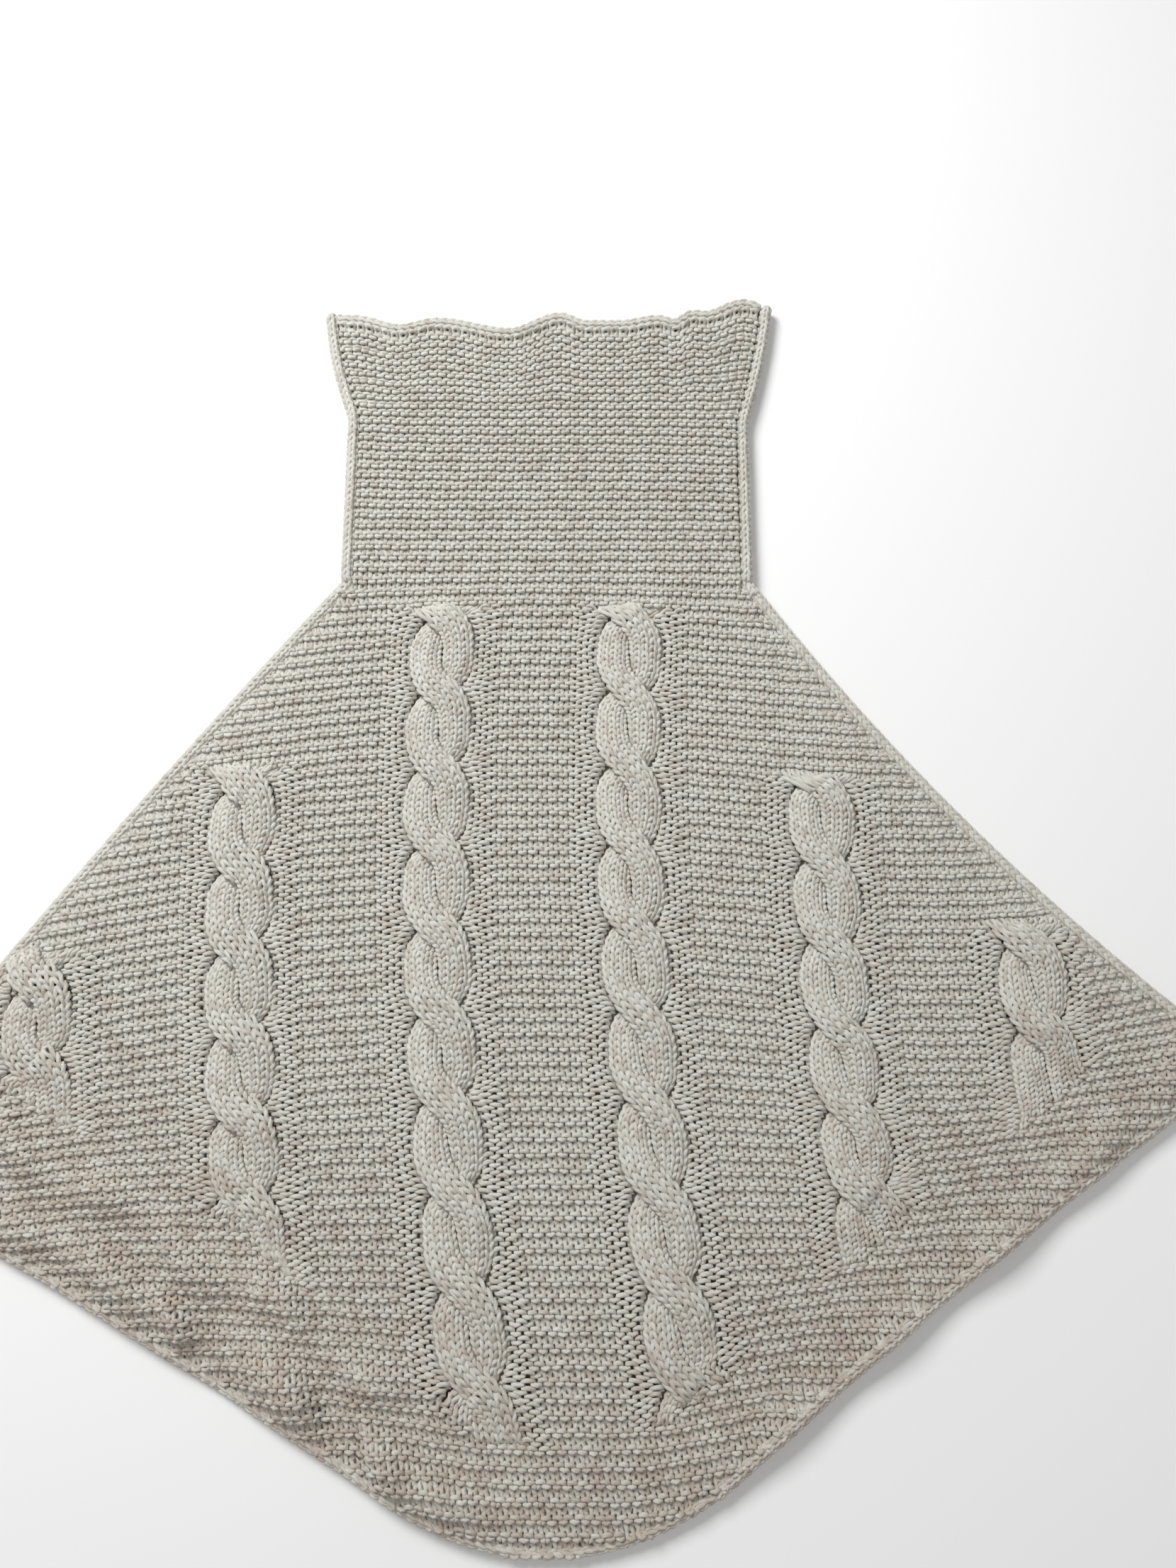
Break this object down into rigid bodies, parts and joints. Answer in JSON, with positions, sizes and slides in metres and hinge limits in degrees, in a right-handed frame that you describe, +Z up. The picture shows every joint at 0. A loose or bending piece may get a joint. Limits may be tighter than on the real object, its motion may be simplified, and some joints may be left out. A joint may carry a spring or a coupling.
{
  "type": "knitted cable poncho",
  "caption": "Oatmeal marl wool poncho laid flat: garter-stitch panels with raised cables, a pointed hem and a tall collar that turns down along a fold.",
  "frame": {"origin": "middle of the garment's box on the surface it lies on", "axes": "+Z up out of the garment's front, +Y from the pointed hem towards the collar, +X towards the wing on a viewer's right"},
  "size_m": [0.8394, 0.7682, 0.0147],
  "materials": {
    "panel_wool": "soft marled wool yarn, garter stitch",
    "edge_wool": "soft marled wool yarn, chained edge stitches",
    "cable_wool": "soft marled wool yarn, smooth knit cables"
  },
  "bodies": {
    "poncho_body": {"front_panel": "panel_wool", "back_panel": "panel_wool", "front_collar_lower": "panel_wool", "back_collar_lower": "panel_wool", "right_shoulder_seam": "edge_wool", "left_shoulder_seam": "edge_wool", "right_collar_lower_seam": "edge_wool", "left_collar_lower_seam": "edge_wool", "front_hem_edge_left": "edge_wool", "front_hem_edge_right": "edge_wool", "front_cast_on_edge": "edge_wool", "back_hem_edge_left": "edge_wool", "back_hem_edge_right": "edge_wool", "back_cast_on_edge": "edge_wool", "left_outer_cable": "cable_wool", "left_middle_cable": "cable_wool", "left_inner_cable": "cable_wool", "right_inner_cable": "cable_wool", "right_middle_cable": "cable_wool", "right_outer_cable": "cable_wool"},
    "collar_turndown": {"front_collar_upper": "panel_wool", "back_collar_upper": "panel_wool", "front_bind_off": "edge_wool", "back_bind_off": "edge_wool", "right_collar_upper_seam": "edge_wool", "left_collar_upper_seam": "edge_wool"}
  },
  "joints": [
    {"name": "collar_fold", "type": "hinge", "parent": "poncho_body", "child": "collar_turndown", "pos_m": [-0.004, 0.296, 0.0118], "axis": [1, 0, 0], "range_deg": [0, 175]}
  ]
}
